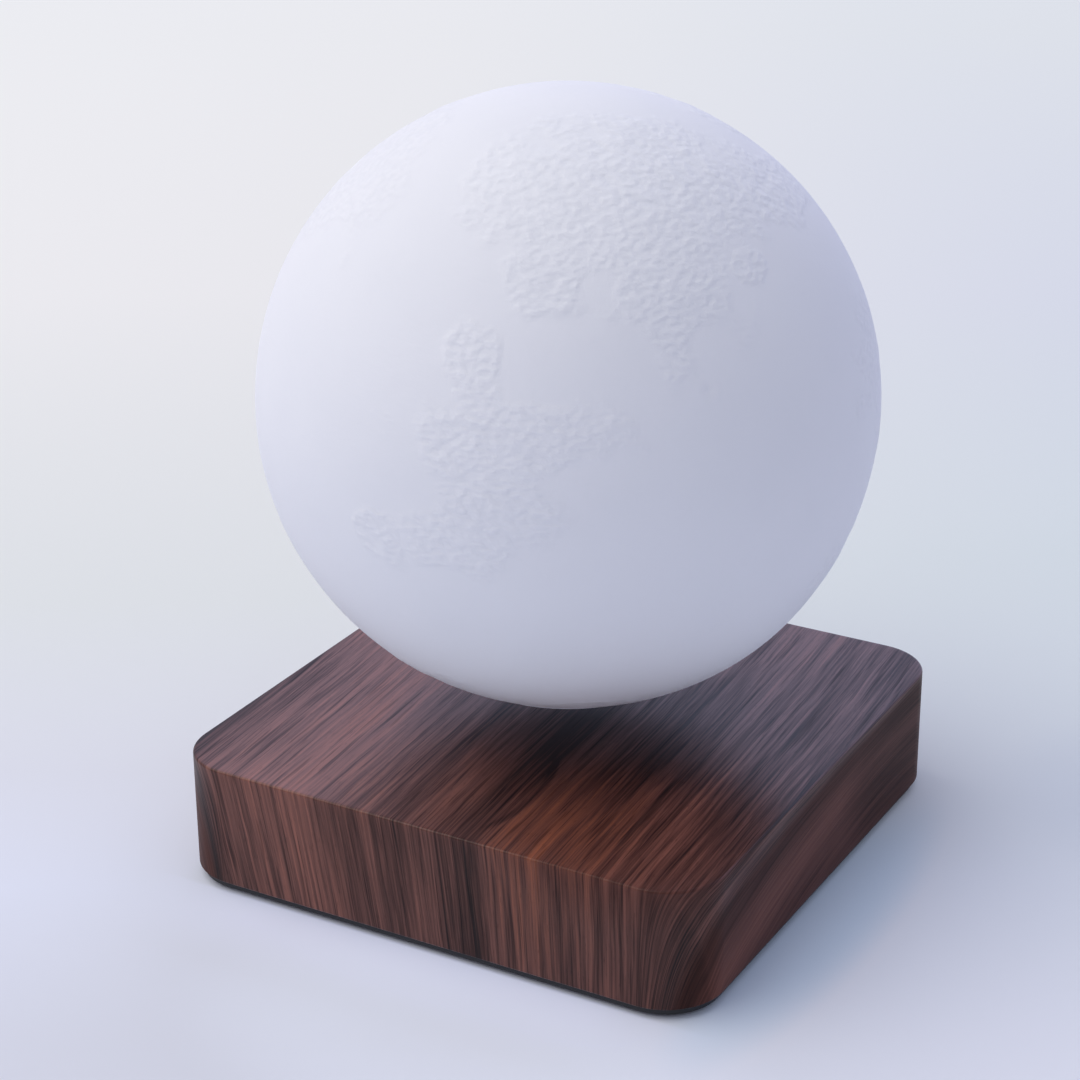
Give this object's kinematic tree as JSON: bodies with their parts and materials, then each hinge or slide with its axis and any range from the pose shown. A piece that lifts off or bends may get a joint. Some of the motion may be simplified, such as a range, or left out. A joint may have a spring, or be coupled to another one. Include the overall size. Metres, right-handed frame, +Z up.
{
  "type": "levitating globe lamp",
  "caption": "Table lamp whose moon-like white globe hovers on a magnetic field over a square wood-look base, and can be turned by hand.",
  "frame": {"origin": "centre of the lamp's footprint, on the table under the rubber feet", "axes": "+Z up along the axis that the globe turns on, -Y towards the front, +Y towards the side with the power socket, +X to the right"},
  "size_m": [0.1498, 0.1498, 0.1914],
  "materials": {
    "walnut_skin": "dark walnut grain, satin, with fine straight lines along Y",
    "black_plastic": "finely grained black plastic",
    "foot_rubber": "matte black rubber",
    "zinc_steel": "zinc-plated steel",
    "nickel_plate": "nickel-plated, polished",
    "board_green": "green solder mask",
    "ferrite": "ground dark grey ferrite",
    "capacitor_can": "drawn aluminium can",
    "copper": "enamelled copper",
    "nylon": "natural nylon",
    "red_sleeve": "red insulated lead",
    "globe_white": "matte white print with low crater relief",
    "white_plastic": "matte white plastic",
    "white_board": "white solder mask",
    "led_phosphor": "yellow phosphor under clear resin"
  },
  "bodies": {
    "base": {"base_casing": "walnut_skin", "bottom_plate": "black_plastic", "rubber_foot_1": "foot_rubber", "rubber_foot_2": "foot_rubber", "rubber_foot_3": "foot_rubber", "rubber_foot_4": "foot_rubber", "casing_screw_1": "zinc_steel", "casing_screw_2": "zinc_steel", "casing_screw_3": "zinc_steel", "casing_screw_4": "zinc_steel", "dc_jack": "black_plastic", "jack_pin": "nickel_plate", "control_board": "board_green", "coil_driver_chip": "black_plastic", "controller_chip": "black_plastic", "power_inductor": "ferrite", "filter_capacitor_1": "capacitor_can", "filter_capacitor_2": "capacitor_can", "hall_sensor_x": "black_plastic", "hall_sensor_y": "black_plastic", "hall_sensor_z": "black_plastic", "touch_spring": "zinc_steel", "touch_pad": "copper", "magnet_tray": "black_plastic", "ring_magnet": "ferrite", "board_screw_1": "zinc_steel", "board_screw_2": "zinc_steel", "board_screw_3": "zinc_steel", "board_screw_4": "zinc_steel", "coil_bobbin_1": "nylon", "coil_bobbin_2": "nylon", "coil_bobbin_3": "nylon", "coil_bobbin_4": "nylon", "coil_winding_1": "copper", "coil_winding_2": "copper", "coil_winding_3": "copper", "coil_winding_4": "copper", "coil_core_1": "zinc_steel", "coil_core_2": "zinc_steel", "coil_core_3": "zinc_steel", "coil_core_4": "zinc_steel", "power_coil": "copper", "power_coil_lead": "red_sleeve"},
    "float_core": {"float_magnet": "nickel_plate"},
    "globe": {"moon_shell": "globe_white", "float_cup": "white_plastic", "cup_lid": "white_plastic", "receiver_coil": "copper", "receiver_lead": "red_sleeve", "led_board": "white_board", "led_1": "led_phosphor", "led_2": "led_phosphor", "led_3": "led_phosphor", "led_4": "led_phosphor", "led_5": "led_phosphor", "led_6": "led_phosphor", "storage_capacitor": "capacitor_can", "led_board_screw_1": "zinc_steel", "led_board_screw_2": "zinc_steel"}
  },
  "joints": [
    {"name": "float_height", "type": "slide", "parent": "base", "child": "float_core", "axis": [0, 0, 1], "range_m": [-0.013, 0.06], "stiffness_N_per_m": 120, "springref_m": 0.02048},
    {"name": "globe_spin", "type": "hinge", "parent": "float_core", "child": "globe", "pos_m": [0, 0, 0.0528], "axis": [0, 0, 1], "continuous": true}
  ]
}
